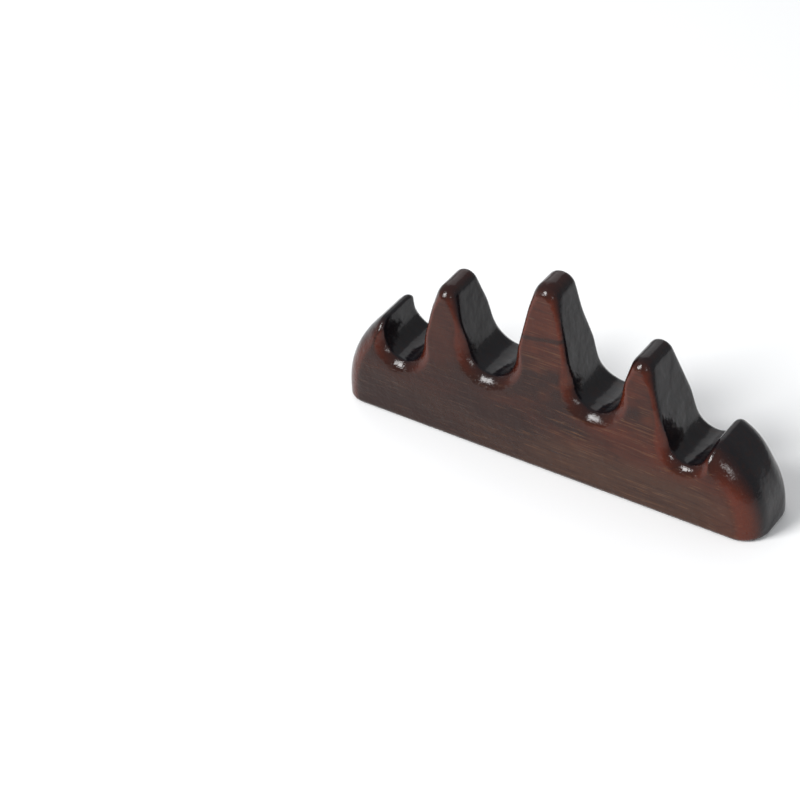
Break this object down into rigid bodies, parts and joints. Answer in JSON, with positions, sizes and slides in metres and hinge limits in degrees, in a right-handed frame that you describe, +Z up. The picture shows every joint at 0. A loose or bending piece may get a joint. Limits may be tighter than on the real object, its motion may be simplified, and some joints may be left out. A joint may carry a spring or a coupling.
{
  "type": "brush rack",
  "caption": "Low carved wooden rest, shaped like a row of mountain peaks. Writing brushes lie across it, in the rounded valleys between the peaks.",
  "frame": {"origin": "middle of the flat underside, on the surface that the rack stands on", "axes": "+X along the rack, from its steep end to its long end; -Y out of the front face; +Z up"},
  "size_m": [0.1096, 0.019, 0.0469],
  "materials": {
    "lacquered_rosewood": "dark red-brown, grained, under clear gloss lacquer"
  },
  "bodies": {
    "root": {"carved_rack": "lacquered_rosewood"}
  },
  "joints": []
}
